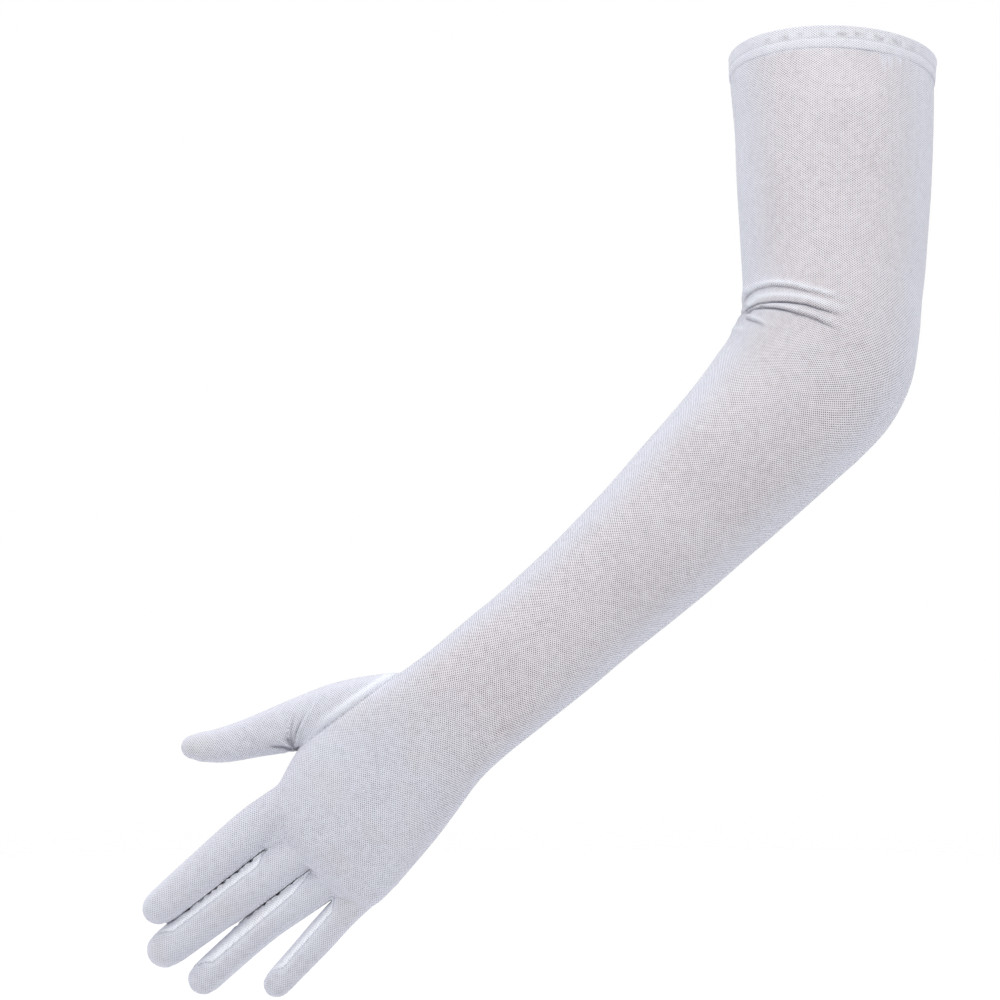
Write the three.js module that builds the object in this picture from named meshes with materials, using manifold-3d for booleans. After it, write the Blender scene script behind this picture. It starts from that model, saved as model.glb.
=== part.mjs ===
// Long stretch tulle glove for a left arm, in the shape that it has when worn.
// Millimetres, +Z up. The back of the hand faces -Y and the thumb side is towards -X.
// The origin is the centre of the cuff opening, and the glove hangs down from it.

import * as THREE from 'three';
import Module from 'manifold-3d';

const wasm = await Module();
wasm.setup();

// Cloth, hem and seams
const clothWall = 1.2;
const hemProud = 0.5;
const seamGap = 0.3;

// Facets round each form, and the share of a tip's radius at which its rows stand
const armSides = 32;
const fingerSides = 16;
const thumbSides = 20;
const webSides = 10;
const tipRows = [0, 0.5, 0.82, 0.97];

// A section's outline is an ellipse at power 2 and grows squarer above it. A ring never shrinks to a point.
const roundPower = 2;
const smallestRadius = 0.1;
const fingerDepthShare = 0.93;

// Sleeve and hand, from the cuff to the finger roots. Each row is one section: its centre, the turn of its
// width line below level in degrees, its width along that line and its depth from back to front, how square
// it is, and into how many steps the stretch to the next row is cut.
const sleeveRows = [
  { x: 0, y: 0, z: 0, turn: 2.6, width: 96, depth: 90, power: 2, steps: 1 },
  { x: -0.5, y: -2.6, z: -10, turn: 2.2, width: 94.5, depth: 89, power: 2, steps: 1 },
  { x: 0, y: -7, z: -32, turn: 0.6, width: 92, depth: 88, power: 2, steps: 2 },
  { x: -0.5, y: -13, z: -60, turn: 0, width: 89.5, depth: 86, power: 2, steps: 1 },
  { x: -1, y: -18, z: -84, turn: 0, width: 86, depth: 84, power: 2, steps: 2 },
  { x: -1.5, y: -22, z: -102, turn: 0, width: 83.5, depth: 82, power: 2, steps: 3 },
  { x: -2.5, y: -25, z: -113, turn: 2, width: 82, depth: 81, power: 2, steps: 4 },
  { x: -3.5, y: -27, z: -123, turn: 10, width: 82, depth: 81, power: 2, steps: 4 },
  { x: -6.5, y: -29, z: -136, turn: 21, width: 84.5, depth: 82, power: 2, steps: 2 },
  { x: -12.5, y: -31, z: -148, turn: 32, width: 84, depth: 81, power: 2, steps: 1 },
  { x: -20.5, y: -32, z: -158, turn: 41, width: 81, depth: 79, power: 2, steps: 1 },
  { x: -27.5, y: -32.5, z: -165, turn: 46, width: 79, depth: 77, power: 2, steps: 1 },
  { x: -38, y: -33, z: -176.5, turn: 47, width: 75.5, depth: 74, power: 2, steps: 1 },
  { x: -57.5, y: -33, z: -196.5, turn: 47, width: 71.5, depth: 70, power: 2, steps: 1 },
  { x: -77, y: -33, z: -216, turn: 47, width: 67.5, depth: 66, power: 2, steps: 1 },
  { x: -96.5, y: -32, z: -234.5, turn: 47, width: 64, depth: 61, power: 2, steps: 1 },
  { x: -115.5, y: -31.5, z: -251.5, turn: 47.5, width: 61, depth: 56, power: 2, steps: 1 },
  { x: -134.5, y: -31, z: -268, turn: 49, width: 60, depth: 50, power: 2, steps: 1 },
  { x: -153.5, y: -30.5, z: -283.5, turn: 51, width: 59.5, depth: 44, power: 2.1, steps: 1 },
  { x: -170, y: -30, z: -297, turn: 52.5, width: 59, depth: 40, power: 2.2, steps: 1 },
  { x: -182, y: -29.5, z: -307, turn: 53, width: 61, depth: 37, power: 2.3, steps: 1 },
  { x: -194, y: -29, z: -319, turn: 52.5, width: 66, depth: 34.5, power: 2.4, steps: 1 },
  { x: -207.5, y: -28.5, z: -332, turn: 52.5, width: 72, depth: 32, power: 2.4, steps: 1 },
  { x: -222.5, y: -28, z: -346.5, turn: 52, width: 76, depth: 30, power: 2.4, steps: 1 },
  { x: -234.5, y: -27.5, z: -361, turn: 48.5, width: 72.5, depth: 26, power: 2.4, steps: 1 },
  { x: -240, y: -27, z: -366, turn: 46, width: 67, depth: 20, power: 2.2, steps: 1 },
  { x: -243, y: -27, z: -369, turn: 45, width: 60, depth: 14, power: 2, steps: 1 },
];

// Middle plane of the hand: its depth at the knuckles, and how much it goes towards the palm for each
// millimetre down the fingers
const knuckle = { x: -244, y: -26.5, z: -360 };
const fingerHeading = { x: -0.785, z: -0.62 };
const fingerLean = 0.11;

// Fingers, from inside the hand to the tip, as points of each finger's middle line with its width there
const fingerRows = {
  index: [
    { x: -243.5, z: -334, width: 18.5 },
    { x: -268.5, z: -354.5, width: 19 },
    { x: -293.5, z: -375.5, width: 17 },
    { x: -317, z: -395.5, width: 14.8 },
  ],
  middle: [
    { x: -228, z: -350.5, width: 18.5 },
    { x: -251, z: -367.5, width: 18.6 },
    { x: -283.5, z: -391.8, width: 18 },
    { x: -315, z: -415.5, width: 16.4 },
  ],
  ring: [
    { x: -213, z: -363, width: 17.5 },
    { x: -235, z: -378.5, width: 17.4 },
    { x: -265, z: -401, width: 16 },
    { x: -296, z: -429, width: 14.4 },
  ],
  little: [
    { x: -206.5, z: -373, width: 16.5 },
    { x: -225.3, z: -391.3, width: 15 },
    { x: -241, z: -408.5, width: 14.4 },
    { x: -261, z: -430.5, width: 12.8 },
  ],
};

// Thumb, in the same way, with how far it stands out of the hand's middle plane towards the palm
const thumbRows = [
  { x: -186, z: -295, toPalm: 2.5, width: 25 },
  { x: -204, z: -297, toPalm: 3.5, width: 28 },
  { x: -226, z: -301, toPalm: 5, width: 28.5 },
  { x: -246, z: -306.5, toPalm: 6, width: 24.5 },
  { x: -265, z: -312, toPalm: 6.5, width: 19.6 },
  { x: -283, z: -316.5, toPalm: 6.5, width: 15.8 },
  { x: -301, z: -317.5, toPalm: 6, width: 11.6 },
];

// Webs that fill the forks, each with its fork point, its length into the hand, and its width and depth
// there and at the fork
const webRows = [
  { x: -262, z: -362.5, reach: 20, rootWidth: 14, rootDepth: 20, width: 4.4, depth: 12 },
  { x: -240.5, z: -372.5, reach: 16, rootWidth: 12, rootDepth: 18, width: 4.4, depth: 11 },
  { x: -230.5, z: -387, reach: 18, rootWidth: 11, rootDepth: 16, width: 4, depth: 10 },
];
const webEdgeShare = 0.6;

// Folds of the elbow and pleats of the thumb, as arcs through three points [x, z], with their height, which
// is negative in a crease, and the half width over which they fade. They flatten at the glove's edges.
const foldRows = [
  { side: 'back', points: [[-47, -116], [-32, -106], [-6, -111]], height: 2.4, spread: 3 },
  { side: 'back', points: [[-45, -119], [-27, -114], [-8, -119]], height: -1.3, spread: 2 },
  { side: 'back', points: [[-44, -121], [-25, -118], [-4, -124]], height: 1.7, spread: 2.4 },
  { side: 'back', points: [[-43, -124], [-20, -123], [2, -131]], height: -1.4, spread: 2.2 },
  { side: 'back', points: [[-46, -127], [-38, -127], [-28, -131]], height: 1.4, spread: 2.4 },
  { side: 'palm', points: [[-47, -114], [-30, -109], [-2, -117]], height: 2, spread: 3 },
  { side: 'palm', points: [[-45, -119], [-25, -116], [0, -125]], height: -1.5, spread: 2.4 },
  { side: 'palm', points: [[-45, -123], [-26, -122], [-4, -132]], height: 1.6, spread: 2.6 },
  { side: 'back', points: [[-249, -317], [-251, -310], [-250, -302]], height: 1, spread: 1.8 },
  { side: 'back', points: [[-247, -314], [-243, -303], [-238, -294]], height: 1, spread: 1.8 },
];
const foldPieces = 8;
const foldFullAt = 0.5;

// Seam of the set-in thumb, from its crotch to the outline at the wrist, and the free space round the thumb
const thumbSeam = [[-249, -318.5], [-230, -303.5], [-214.5, -293.5], [-200.5, -282]];
const aroundThumb = [[-202, -253], [-340, -253], [-340, -348], [-276, -329]];

// Strips between two fingers: their half width at the fork and near the tips, how far behind the fork they
// start and how far before the tips they end
const stripHalfAtFork = 5;
const stripHalfAtTip = 3.8;
const stripBehindFork = 2.6;
const stripBeforeTip = 9;
const cutterHalfDepth = 60;

function smoothStep(low, high, value) {
  const t = Math.min(Math.max((value - low) / (high - low), 0), 1);
  return t * t * (3 - 2 * t);
}

// One Catmull-Rom value between the second and third of four
function blend(before, start, end, after, t) {
  const cubic = 3 * (start - end) + after - before;
  const square = 2 * before - 5 * start + 4 * end - after;
  return 0.5 * (2 * start + (end - before) * t + square * t * t + cubic * t * t * t);
}

// Every column of a table at a place between two rows
function rowAt(table, place) {
  const last = table.length - 1;
  const index = Math.min(Math.floor(place), last - 1);
  const near = [-1, 0, 1, 2].map((step) => table[Math.min(Math.max(index + step, 0), last)]);
  const row = {};
  for (const column of Object.keys(table[0])) {
    row[column] = blend(...near.map((entry) => entry[column]), place - index);
  }
  return row;
}

function handDepth(x, z) {
  const down = (x - knuckle.x) * fingerHeading.x + (z - knuckle.z) * fingerHeading.z;
  return knuckle.y + fingerLean * Math.max(down, 0);
}

// Folds as short polylines with their own settings
const folds = foldRows.map((fold) => {
  const points = fold.points.map(([x, z]) => new THREE.Vector2(x, z));
  return { ...fold, line: new THREE.SplineCurve(points).getPoints(foldPieces) };
});

function distanceToLine(line, point) {
  let nearest = Infinity;
  for (let k = 1; k < line.length; k += 1) {
    const along = line[k].clone().sub(line[k - 1]);
    const share = point.clone().sub(line[k - 1]).dot(along) / along.lengthSq();
    const foot = line[k - 1].clone().addScaledVector(along, Math.min(Math.max(share, 0), 1));
    nearest = Math.min(nearest, foot.distanceTo(point));
  }
  return nearest;
}

// How far the folds lift a point of the cloth; facing is 1 on the back of the hand and -1 on the palm
function foldLift(x, z, facing) {
  const point = new THREE.Vector2(x, z);
  let lift = 0;
  for (const fold of folds) {
    const shown = smoothStep(0, foldFullAt, fold.side === 'back' ? facing : -facing);
    if (shown > 0) {
      lift += shown * fold.height * Math.exp(-((distanceToLine(fold.line, point) / fold.spread) ** 2));
    }
  }
  return lift;
}

// Centre, axes and size of each section. Where a row has no turn, its width line stands square to the path.
function sectionsOf(rows) {
  return rows.map((row, k) => {
    const before = rows[Math.max(k - 1, 0)];
    const after = rows[Math.min(k + 1, rows.length - 1)];
    const along = new THREE.Vector3(after.x - before.x, after.y - before.y, after.z - before.z).normalize();
    const square = new THREE.Vector3(-along.z, 0, along.x).normalize();
    const turn = THREE.MathUtils.degToRad(row.turn ?? 0);
    const across = row.turn === undefined ? square : new THREE.Vector3(Math.cos(turn), 0, -Math.sin(turn));
    const back = new THREE.Vector3().crossVectors(along, across).normalize();
    const centre = new THREE.Vector3(row.x, row.y, row.z);
    const power = row.power ?? roundPower;
    return { centre, along, across, back, power, width: row.width, depth: row.depth };
  });
}

// One closed ring of points on a section, drawn in by inset
function ringOf(section, sides, inset) {
  const ring = [];
  for (let k = 0; k < sides; k += 1) {
    const angle = (2 * Math.PI * k) / sides;
    const u = Math.cos(angle);
    const v = Math.sin(angle);
    const across = Math.sign(u) * Math.abs(u) ** (2 / section.power);
    const back = Math.sign(v) * Math.abs(v) ** (2 / section.power);
    const point = section.centre.clone();
    point.addScaledVector(section.across, across * Math.max(section.width / 2 - inset, smallestRadius));
    point.addScaledVector(section.back, back * Math.max(section.depth / 2 - inset, smallestRadius));
    const outward = section.across.clone().multiplyScalar(u).addScaledVector(section.back, v);
    point.addScaledVector(outward, foldLift(point.x, point.z, v));
    ring.push(point);
  }
  return ring;
}

function solidFrom(points, faces) {
  const vertProperties = new Float32Array(points.flatMap((p) => [p.x, p.y, p.z]));
  const triVerts = new Uint32Array(faces);
  return new wasm.Manifold(new wasm.Mesh({ numProp: 3, vertProperties, triVerts }));
}

// Two triangles for each field between neighbouring rings, and from the last ring to the first in a loop
function facesBetween(ringCount, sides, isLoop) {
  const faces = [];
  for (let ring = 0; ring < (isLoop ? ringCount : ringCount - 1); ring += 1) {
    const here = ring * sides;
    const there = ((ring + 1) % ringCount) * sides;
    for (let k = 0; k < sides; k += 1) {
      const next = (k + 1) % sides;
      faces.push(here + k, here + next, there + k);
      faces.push(here + next, there + next, there + k);
    }
  }
  return faces;
}

// Closed solid through rings of equal count, its two ends closed by fans
function solidThrough(rings) {
  const sides = rings[0].length;
  const last = rings.length - 1;
  const centreOf = (ring) => ring.reduce((sum, p) => sum.add(p), new THREE.Vector3()).divideScalar(sides);
  const points = [...rings.flat(), centreOf(rings[0]), centreOf(rings[last])];
  const faces = facesBetween(rings.length, sides, false);
  for (let k = 0; k < sides; k += 1) {
    const next = (k + 1) % sides;
    faces.push(points.length - 2, next, k);
    faces.push(points.length - 1, last * sides + k, last * sides + next);
  }
  return solidFrom(points, faces);
}

// Sections of the sleeve from the cuff on, with each stretch of its table cut into its steps. The first two
// are the edges of the hem.
function sleeveSections() {
  const rows = [sleeveRows[0]];
  for (let index = 0; index < sleeveRows.length - 1; index += 1) {
    const steps = sleeveRows[index].steps;
    for (let step = 1; step <= steps; step += 1) {
      rows.push(rowAt(sleeveRows, index + step / steps));
    }
  }
  return sectionsOf(rows);
}

// A row moved along the path, used for ends and tips
function moved(section, distance, scale = 1) {
  const centre = section.centre.clone().addScaledVector(section.along, distance);
  return { ...section, centre, width: section.width * scale, depth: section.depth * scale };
}

// Sections of a finger with a round tip, which ends short of its table by inset
function fingerSections(table, inset) {
  const rows = [];
  for (let place = 0; place <= table.length - 1; place += 0.5) {
    const row = rowAt(table, place);
    const y = handDepth(row.x, row.z) + (row.toPalm ?? 0);
    rows.push({ ...row, y, depth: row.width * fingerDepthShare });
  }
  const sections = sectionsOf(rows);
  const tip = sections[sections.length - 1];
  const radius = tip.width / 2;
  const kept = sections.filter((section) => section.centre.distanceTo(tip.centre) > radius);
  for (const share of tipRows) {
    kept.push(moved(tip, radius * (share - 1) - inset * share, Math.sqrt(1 - share * share)));
  }
  return kept;
}

function fingerSolid(table, sides, inset) {
  const sections = fingerSections(table, inset);
  const last = sections.length - tipRows.length;
  return solidThrough(sections.map((section, k) => {
    const tipScale = k < last ? 1 : Math.sqrt(1 - tipRows[k - last] ** 2);
    return ringOf(section, sides, inset * tipScale);
  }));
}

// Web that narrows from its root inside the hand to a rounded edge at the fork
function webSolid(web) {
  const middleWidth = (web.width + web.rootWidth) / 2;
  const middleDepth = (web.depth + web.rootDepth) / 2;
  const rows = [
    { behind: web.reach, width: web.rootWidth, depth: web.rootDepth },
    { behind: web.reach / 2, width: middleWidth, depth: middleDepth },
    { behind: web.width / 2, width: web.width, depth: web.depth },
    { behind: 0, width: web.width * webEdgeShare, depth: web.depth * webEdgeShare },
  ].map((row) => {
    const x = web.x - fingerHeading.x * row.behind;
    const z = web.z - fingerHeading.z * row.behind;
    return { ...row, x, z, y: handDepth(x, z) };
  });
  return solidThrough(sectionsOf(rows).map((section) => ringOf(section, webSides, 0)));
}

// The whole glove as one solid form, drawn in by inset
function gloveForm(sleeve, inset) {
  const fingerEnd = moved(sleeve[sleeve.length - 1], -inset);
  const sections = [...sleeve.slice(0, -1), fingerEnd];
  let form = solidThrough(sections.map((section) => ringOf(section, armSides, inset)));
  for (const table of Object.values(fingerRows)) {
    form = form.add(fingerSolid(table, fingerSides, inset));
  }
  return form.add(fingerSolid(thumbRows, thumbSides, inset));
}

// An outline of corners with x, z and a half depth, running anticlockwise as seen from the back of the hand
function anticlockwise(corners) {
  const isClockwise = THREE.ShapeUtils.isClockWise(corners.map(({ x, z }) => new THREE.Vector2(x, z)));
  return isClockwise ? [...corners].reverse() : corners;
}

// The same outline with each corner moved outwards along the line that halves its angle
function grownOutline(corners, distance) {
  const outward = corners.map((corner, k) => {
    const next = corners[(k + 1) % corners.length];
    return new THREE.Vector2(next.z - corner.z, corner.x - next.x).normalize();
  });
  return corners.map((corner, k) => {
    const half = outward[(k + corners.length - 1) % corners.length].clone().add(outward[k]);
    const shift = half.multiplyScalar((2 * distance) / half.lengthSq());
    return { x: corner.x + shift.x, z: corner.z + shift.y, half: corner.half + distance };
  });
}

// Cutter with an outline seen from the back of the hand, which follows the hand's middle plane
function cutter(corners, grow) {
  const outline = grownOutline(anticlockwise(corners), grow);
  const count = outline.length;
  const points = [-1, 1].flatMap((side) => outline.map(({ x, z, half }) => (
    new THREE.Vector3(x, handDepth(x, z) + side * half, z)
  )));
  const faces = [];
  const contour = outline.map(({ x, z }) => new THREE.Vector2(x, z));
  for (const [a, b, c] of THREE.ShapeUtils.triangulateShape(contour, [])) {
    faces.push(a, b, c, count + a, count + c, count + b);
  }
  for (let k = 0; k < count; k += 1) {
    const next = (k + 1) % count;
    faces.push(k, count + k, next, next, count + k, count + next);
  }
  return solidFrom(points, faces);
}

function thumbCutter(grow) {
  return cutter([...thumbSeam, ...aroundThumb].map(([x, z]) => ({ x, z, half: cutterHalfDepth })), grow);
}

// The point of a finger's middle line that lies beside a target, moved towards the tip by shift
function besideOnFinger(table, target, shift) {
  const base = new THREE.Vector2(table[1].x, table[1].z);
  const tip = table[table.length - 1];
  const heading = new THREE.Vector2(tip.x, tip.z).sub(base).normalize();
  const along = new THREE.Vector2(target.x, target.z).sub(base).dot(heading);
  return base.addScaledVector(heading, along + shift);
}

// Cutter of a strip, between the middle lines of two neighbouring fingers
function stripCutter(first, second, fork, grow) {
  const tables = [first, second];
  const [firstTip, secondTip] = tables.map((table) => (
    besideOnFinger(table, table[table.length - 1], -stripBeforeTip)
  ));
  const [firstFork, secondFork] = tables.map((table) => besideOnFinger(table, fork, -stripBehindFork));
  const corners = [
    { x: firstTip.x, z: firstTip.y, half: stripHalfAtTip },
    { x: firstFork.x, z: firstFork.y, half: stripHalfAtFork },
    { x: secondFork.x, z: secondFork.y, half: stripHalfAtFork },
    { x: secondTip.x, z: secondTip.y, half: stripHalfAtTip },
  ];
  return cutter(corners, grow);
}

// The doubled band at the cuff, a little proud of the cloth inside and out
function hemBand(top, bottom) {
  const outer = [top, bottom].map((section) => ringOf(section, armSides, -hemProud));
  const inner = [bottom, top].map((section) => ringOf(section, armSides, clothWall + hemProud));
  const rings = [...outer, ...inner];
  return solidFrom(rings.flat(), facesBetween(rings.length, armSides, true));
}

// The largest body of a solid, without the crumbs that a cut can leave
function mainBody(solid) {
  const bodies = solid.decompose();
  return bodies.reduce((largest, body) => (body.volume() > largest.volume() ? body : largest));
}

const glove = new THREE.Group();

function addPiece(name, solid, colour) {
  const mesh = mainBody(solid).getMesh();
  const geometry = new THREE.BufferGeometry();
  geometry.setAttribute('position', new THREE.BufferAttribute(new Float32Array(mesh.vertProperties), 3));
  geometry.setIndex(new THREE.BufferAttribute(new Uint32Array(mesh.triVerts), 1));
  geometry.computeVertexNormals();
  const piece = new THREE.Mesh(geometry, new THREE.MeshStandardMaterial({ color: colour, roughness: 0.85 }));
  piece.name = name;
  glove.add(piece);
}

const tulleColour = 0xd8d9e4;
const doubledColour = 0xe2e4ee;

const [cuffEdge, hemEdge, ...sleeveBelow] = sleeveSections();
let outerForm = gloveForm([moved(hemEdge, seamGap), ...sleeveBelow], 0);
for (const web of webRows) {
  outerForm = outerForm.add(webSolid(web));
}
const cloth = outerForm.subtract(gloveForm([cuffEdge, hemEdge, ...sleeveBelow], clothWall));

addPiece('hem_band', hemBand(cuffEdge, hemEdge), doubledColour);
addPiece('thumb', cloth.intersect(thumbCutter(-seamGap / 2)), tulleColour);

let trank = cloth.subtract(thumbCutter(seamGap / 2));
const fingerNames = Object.keys(fingerRows);
webRows.forEach((web, k) => {
  const [first, second] = [fingerNames[k], fingerNames[k + 1]];
  const tables = [fingerRows[first], fingerRows[second]];
  const strip = trank.intersect(stripCutter(...tables, web, -seamGap / 2));
  addPiece(`fourchette_${first}_${second}`, strip, doubledColour);
  trank = trank.subtract(stripCutter(...tables, web, seamGap / 2));
});
addPiece('trank', trank, tulleColour);

export default glove;
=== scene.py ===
import math

import bmesh
import bpy
import numpy as np
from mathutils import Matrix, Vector, kdtree, noise
from mathutils.bvhtree import BVHTree


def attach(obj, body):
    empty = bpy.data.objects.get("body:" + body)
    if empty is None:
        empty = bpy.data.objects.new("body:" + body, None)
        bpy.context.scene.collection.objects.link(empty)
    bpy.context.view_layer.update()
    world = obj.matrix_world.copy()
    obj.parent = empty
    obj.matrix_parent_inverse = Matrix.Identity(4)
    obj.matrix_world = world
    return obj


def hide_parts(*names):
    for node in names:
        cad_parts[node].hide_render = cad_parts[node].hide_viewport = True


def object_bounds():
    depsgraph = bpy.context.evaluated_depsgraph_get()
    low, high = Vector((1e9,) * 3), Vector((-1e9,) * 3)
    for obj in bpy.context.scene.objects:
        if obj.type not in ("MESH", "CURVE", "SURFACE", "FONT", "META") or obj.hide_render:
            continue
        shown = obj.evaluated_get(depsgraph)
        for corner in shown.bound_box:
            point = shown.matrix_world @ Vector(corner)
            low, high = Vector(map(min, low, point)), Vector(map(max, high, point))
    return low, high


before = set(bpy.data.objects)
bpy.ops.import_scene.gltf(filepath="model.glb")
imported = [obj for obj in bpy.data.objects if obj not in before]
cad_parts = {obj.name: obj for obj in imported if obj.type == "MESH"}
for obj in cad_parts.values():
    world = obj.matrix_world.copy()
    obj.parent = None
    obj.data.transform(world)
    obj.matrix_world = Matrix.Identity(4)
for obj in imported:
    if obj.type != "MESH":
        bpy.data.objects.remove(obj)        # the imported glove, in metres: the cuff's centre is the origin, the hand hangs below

mm = 0.001
cadLow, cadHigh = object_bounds()
print("frame loaded:", ", ".join(sorted(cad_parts)))


def tableOf(columns, rows):
    names = columns.split()
    return [dict(zip(names, row)) for row in rows]


# Sleeve and hand in millimetres: centre of a section, turn of its width line, width, depth and squareness
sleeveTable = tableOf("x y z turn width depth power", [
    (0, 0, 0, 2.6, 96, 90, 2),
    (-0.5, -2.6, -10, 2.2, 94.5, 89, 2),
    (0, -7, -32, 0.6, 92, 88, 2),
    (-0.5, -13, -60, 0, 89.5, 86, 2),
    (-1, -18, -84, 0, 86, 84, 2),
    (-1.5, -22, -102, 0, 83.5, 82, 2),
    (-2.5, -25, -113, 2, 82, 81, 2),
    (-3.5, -27, -123, 10, 82, 81, 2),
    (-6.5, -29, -136, 21, 84.5, 82, 2),
    (-12.5, -31, -148, 32, 84, 81, 2),
    (-20.5, -32, -158, 41, 81, 79, 2),
    (-27.5, -32.5, -165, 46, 79, 77, 2),
    (-38, -33, -176.5, 47, 75.5, 74, 2),
    (-57.5, -33, -196.5, 47, 71.5, 70, 2),
    (-77, -33, -216, 47, 67.5, 66, 2),
    (-96.5, -32, -234.5, 47, 64, 61, 2),
    (-115.5, -31.5, -251.5, 47.5, 61, 56, 2),
    (-134.5, -31, -268, 49, 60, 50, 2),
    (-153.5, -30.5, -283.5, 51, 59.5, 44, 2.1),
    (-170, -30, -297, 52.5, 59, 40, 2.2),
    (-182, -29.5, -307, 53, 61, 37, 2.3),
    (-194, -29, -319, 52.5, 66, 34.5, 2.4),
    (-207.5, -28.5, -332, 52.5, 72, 32, 2.4),
    (-222.5, -28, -346.5, 52, 76, 30, 2.4),
    (-233.8, -27.5, -361.8, 48.5, 70.4, 26, 2.4),
    (-240, -27, -366, 46, 67, 20, 2.2),
    (-243, -27, -369, 45, 60, 14, 2),
])
# Fingers, with how far each stands out of the hand's middle plane towards the palm
fingerTables = {
    "index": tableOf("x z toPalm width", [(-242.9, -334.8, 0, 16.6), (-268.2, -354.9, -0.8, 20.1),
                                          (-293.2, -375.85, -2.6, 17.9), (-316.85, -395.7, -3.2, 15.3)]),
    "middle": tableOf("x z toPalm width", [(-228, -350.5, 0, 18.5), (-251.2, -367.25, 0.3, 19.6),
                                           (-283.65, -391.6, 0.7, 19.1), (-315.2, -415.3, 1, 17)]),
    "ring": tableOf("x z toPalm width", [(-213, -363, 0.4, 17.5), (-235, -378.5, 1.8, 17.5),
                                         (-265.1, -400.85, 2.8, 16.3), (-296, -429, 3, 14.4)]),
    "little": tableOf("x z toPalm width", [(-206.5, -373, 0.4, 16.5), (-225.3, -391.3, 1.4, 15),
                                           (-241, -408.5, 2, 14.4), (-261, -430.5, 2, 12.8)]),
}
thumbTable = tableOf("x z toPalm width", [
    (-186, -295, 2.5, 25), (-204, -297, 3.5, 28), (-226, -301, 5, 28.5), (-246, -306.5, 6, 24.5),
    (-265, -312, 6.5, 19.6), (-283, -316.5, 6.5, 15.8), (-301, -317.5, 6, 11.6),
])
webTable = tableOf("x z reach rootWidth rootDepth width depth", [
    (-262, -362.5, 20, 14, 20, 4.4, 12), (-240.5, -372.5, 16, 12, 18, 4.4, 11),
    (-230.5, -387, 18, 11, 16, 4, 10),
])
hand = {"knuckle": (-244, -26.5, -360), "heading": (-0.785, -0.62), "across": (0.62, -0.785),
        "lean": 0.11, "fingerDepth": 0.93, "rootsAt": 2.0}


def downHand(x, z):
    return (x - hand["knuckle"][0]) * hand["heading"][0] + (z - hand["knuckle"][2]) * hand["heading"][1]


def handDepth(x, z):
    return hand["knuckle"][1] + hand["lean"] * np.maximum(downHand(x, z), 0)


def smoothStep(low, high, value):
    t = np.clip((value - low) / (high - low), 0, 1)
    return t * t * (3 - 2 * t)


# How far along a line each of its points lies
def runOf(line):
    return np.concatenate([[0], np.cumsum(np.linalg.norm(np.diff(line, axis=0), axis=1))])


# Every column of a table at places between its rows, on a smooth curve through them
def readTable(table, places):
    places = np.asarray(places, float)
    last = len(table) - 1
    first = np.minimum(places.astype(int), last - 1)
    t = places - first
    columns = {}
    for name in table[0]:
        values = np.array([row[name] for row in table], float)
        before, a, b, after = (values[np.clip(first + k, 0, last)] for k in (-1, 0, 1, 2))
        columns[name] = 0.5 * (2 * a + (b - before) * t + (2 * before - 5 * a + 4 * b - after) * t ** 2
                               + (3 * (a - b) + after - before) * t ** 3)
    return columns


# Centres, axes and sizes of the sections along a form
def sectionsOf(columns):
    centre = np.stack([columns["x"], columns["y"], columns["z"]], 1)
    along = np.gradient(centre, axis=0)
    along /= np.linalg.norm(along, axis=1)[:, None]
    if "turn" in columns:
        turn = np.radians(columns["turn"])
        across = np.stack([np.cos(turn), 0 * turn, -np.sin(turn)], 1)
    else:
        across = np.stack([-along[:, 2], 0 * along[:, 0], along[:, 0]], 1)
        across /= np.linalg.norm(across, axis=1)[:, None]
    back = np.cross(along, across)
    back /= np.linalg.norm(back, axis=1)[:, None]
    return {"centre": centre, "along": along, "across": across, "back": back, "width": columns["width"],
            "depth": columns["depth"], "power": columns.get("power", np.full(len(centre), 2.0))}


def everyPlace(table, perRow):
    return np.arange(0, (len(table) - 1) * perRow + 1) / perRow


def sleeveSections(perRow):
    return sectionsOf(readTable(sleeveTable, everyPlace(sleeveTable, perRow)))


def fingerSections(table, perRow):
    columns = readTable(table, everyPlace(table, perRow))
    columns["y"] = handDepth(columns["x"], columns["z"]) + columns["toPalm"]
    columns["depth"] = columns["width"] * hand["fingerDepth"]
    return sectionsOf(columns)


# A finger's sections with its round tip, whose rings shrink on nearly a quarter circle
def tippedSections(table, perRow, rings=9, share=0.985):
    sections = fingerSections(table, perRow)
    tip = {name: values[-1] for name, values in sections.items()}
    radius = tip["width"] / 2
    kept = np.linalg.norm(sections["centre"] - tip["centre"], axis=1) > radius
    rise = np.sin(np.linspace(0, share, rings) * math.pi / 2)
    shrink = np.sqrt(1 - rise ** 2)
    end = {name: np.repeat(np.asarray(value)[None], rings, 0) for name, value in tip.items()}
    end["centre"] = tip["centre"] + tip["along"] * (radius * (rise - 1))[:, None]
    end["width"], end["depth"] = tip["width"] * shrink, tip["depth"] * shrink
    return {name: np.concatenate([sections[name][kept], end[name]]) for name in sections}


def webSections(web):
    behind = np.array([web["reach"], web["reach"] / 2, web["width"] / 2, 0.0])
    share = np.array([0, 0.5, 1, 1.0])
    shrink = np.array([1, 1, 1, 0.6])
    x, z = web["x"] - hand["heading"][0] * behind, web["z"] - hand["heading"][1] * behind
    return sectionsOf({
        "x": x, "y": handDepth(x, z), "z": z,
        "width": (web["rootWidth"] + (web["width"] - web["rootWidth"]) * share) * shrink,
        "depth": (web["rootDepth"] + (web["depth"] - web["rootDepth"]) * share) * shrink,
    })


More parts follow.
